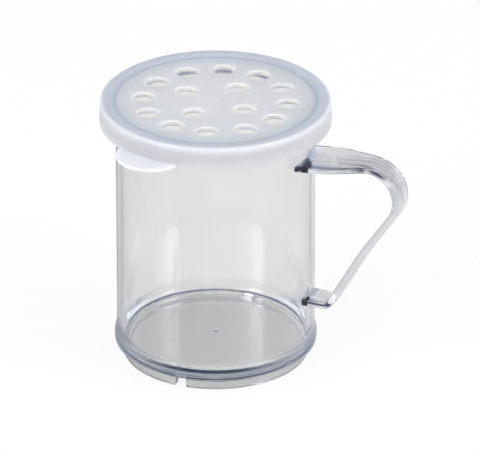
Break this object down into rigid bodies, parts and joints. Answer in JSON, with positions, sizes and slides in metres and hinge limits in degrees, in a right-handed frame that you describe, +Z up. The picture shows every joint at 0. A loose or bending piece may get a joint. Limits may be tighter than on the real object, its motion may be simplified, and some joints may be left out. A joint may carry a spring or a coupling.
{
  "type": "spice shaker",
  "caption": "Clear plastic spice shaker cup with an open strap handle and a milky push-on lid with round holes and a thumb tab.",
  "frame": {"origin": "on the cup's axis, at the plane that the foot ring stands on", "axes": "+Z up along the cup's axis, +X towards the handle, the thumb tab of the lid near -Y"},
  "size_m": [0.1104, 0.0885, 0.0969],
  "materials": {
    "clear_plastic": "clear, polished",
    "milky_plastic": "translucent, satin"
  },
  "bodies": {
    "cup": {"cup_body": "clear_plastic", "cup_handle": "clear_plastic"},
    "lid": {"lid_plate": "milky_plastic", "lid_skirt": "milky_plastic"}
  },
  "joints": [
    {"name": "lid_lift", "type": "slide", "parent": "cup", "child": "lid", "axis": [0, 0, 1], "range_m": [0, 0.05]}
  ]
}
